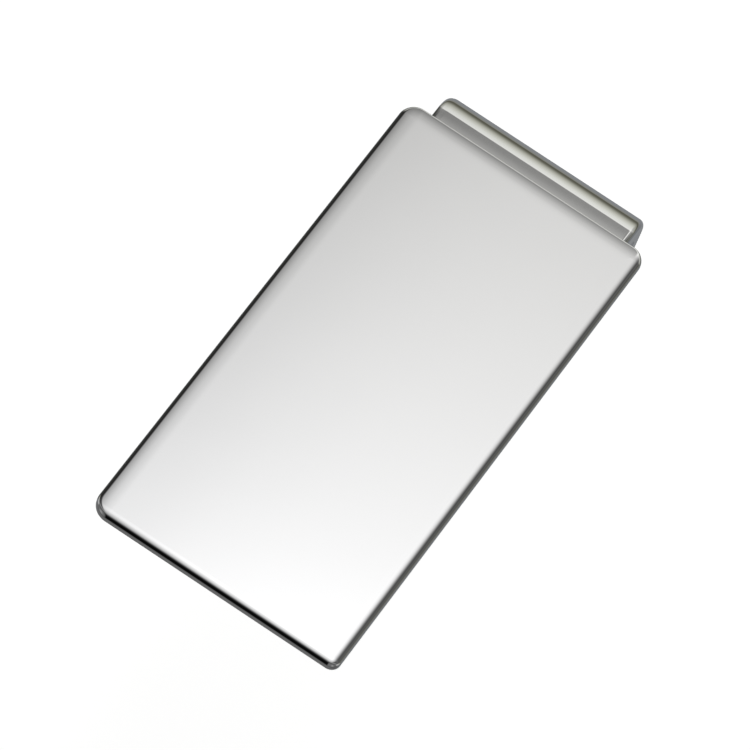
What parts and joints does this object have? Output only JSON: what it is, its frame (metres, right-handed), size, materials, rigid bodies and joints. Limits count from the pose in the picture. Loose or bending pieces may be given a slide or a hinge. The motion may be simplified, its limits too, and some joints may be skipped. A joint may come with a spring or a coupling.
{
  "type": "money clip",
  "caption": "Spring-hinged money clip: a mirror-polished rectangular face plate on a hinge frame, with a sprung rear arm that clamps folded banknotes behind it.",
  "frame": {"origin": "under the middle of the whole clip, on the surface it rests on as it lies on its back", "axes": "+Z out of the polished face, +Y towards the hinge end, +X across the width to the right of the face seen with the hinge end up"},
  "size_m": [0.0254, 0.058, 0.0076],
  "materials": {
    "face_plate": "mirror polish",
    "hinge_frame": "polished",
    "pin_steel": "turned and polished",
    "washer_bronze": "blanked bronze",
    "spool_polymer": "moulded",
    "spring_wire": "drawn wire",
    "clip_arm": "polished",
    "bush_bronze": "turned bronze",
    "grip_pad": "matt moulded rubber",
    "rivet_steel": "turned"
  },
  "bodies": {
    "frame": {"face_plate": "face_plate", "hinge_frame": "hinge_frame", "hinge_pin": "pin_steel", "pin_cap": "pin_steel", "thrust_washer_left": "washer_bronze", "thrust_washer_right": "washer_bronze", "spring_spool": "spool_polymer", "torsion_spring": "spring_wire"},
    "arm": {"clip_arm": "clip_arm", "pivot_bush_left": "bush_bronze", "pivot_bush_right": "bush_bronze", "grip_pad": "grip_pad", "pad_rivet_left": "rivet_steel", "pad_rivet_right": "rivet_steel"}
  },
  "joints": [
    {"name": "arm_hinge", "type": "hinge", "parent": "frame", "child": "arm", "pos_m": [0, 0.02567, 0.003], "axis": [1, 0, 0], "range_deg": [0, 40], "stiffness_Nm_per_rad": 0.12, "springref_deg": -57.3, "deforming": ["torsion_spring"]}
  ]
}
